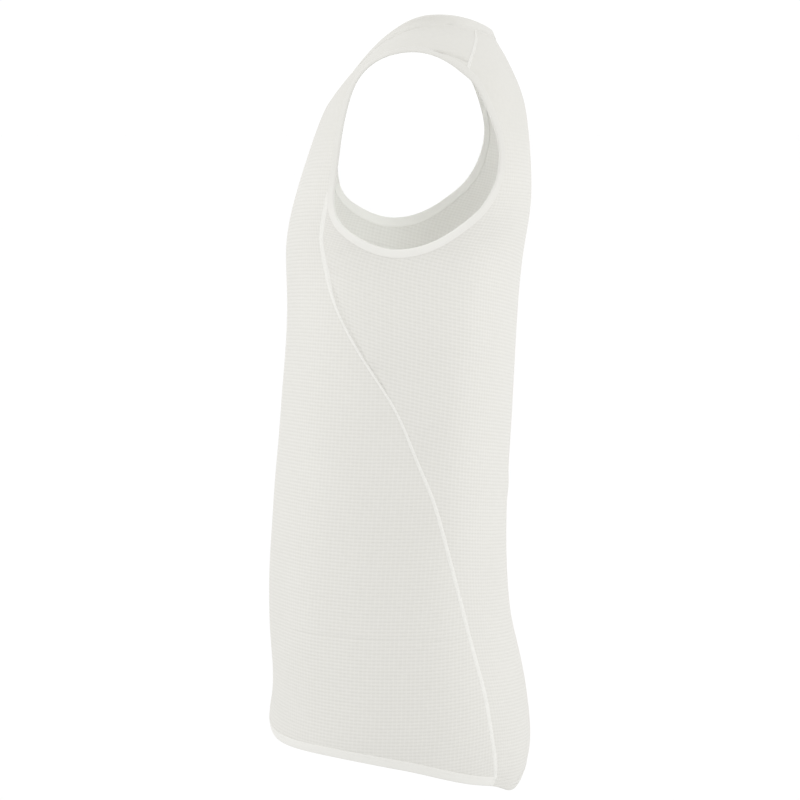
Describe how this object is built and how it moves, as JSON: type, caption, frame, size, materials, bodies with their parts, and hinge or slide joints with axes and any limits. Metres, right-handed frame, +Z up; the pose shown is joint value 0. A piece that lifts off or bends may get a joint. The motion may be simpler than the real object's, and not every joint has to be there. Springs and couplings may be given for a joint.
{
  "type": "sleeveless base layer top",
  "caption": "Sleeveless base layer top in rib knit, filled out as worn and hollow, with bound neck and armholes, slanting side seams and a longer back hem.",
  "frame": {"origin": "middle plane, at the height of the neck edge's highest points, where the wearer's shoulders hold the straps", "axes": "+Z up, -Y the wearer's front, +X the wearer's left"},
  "size_m": [0.3306, 0.2462, 0.6898],
  "materials": {
    "rib_knit": "fine mesh rib knit, matt",
    "binding_knit": "smooth folded knit binding, matt",
    "hem_knit": "turned and stitched knit, matt"
  },
  "bodies": {
    "root": {"front_panel": "rib_knit", "back_panel": "rib_knit", "neck_binding": "binding_knit", "armhole_binding_left": "binding_knit", "armhole_binding_right": "binding_knit", "front_hem": "hem_knit", "back_hem": "hem_knit"}
  },
  "joints": []
}
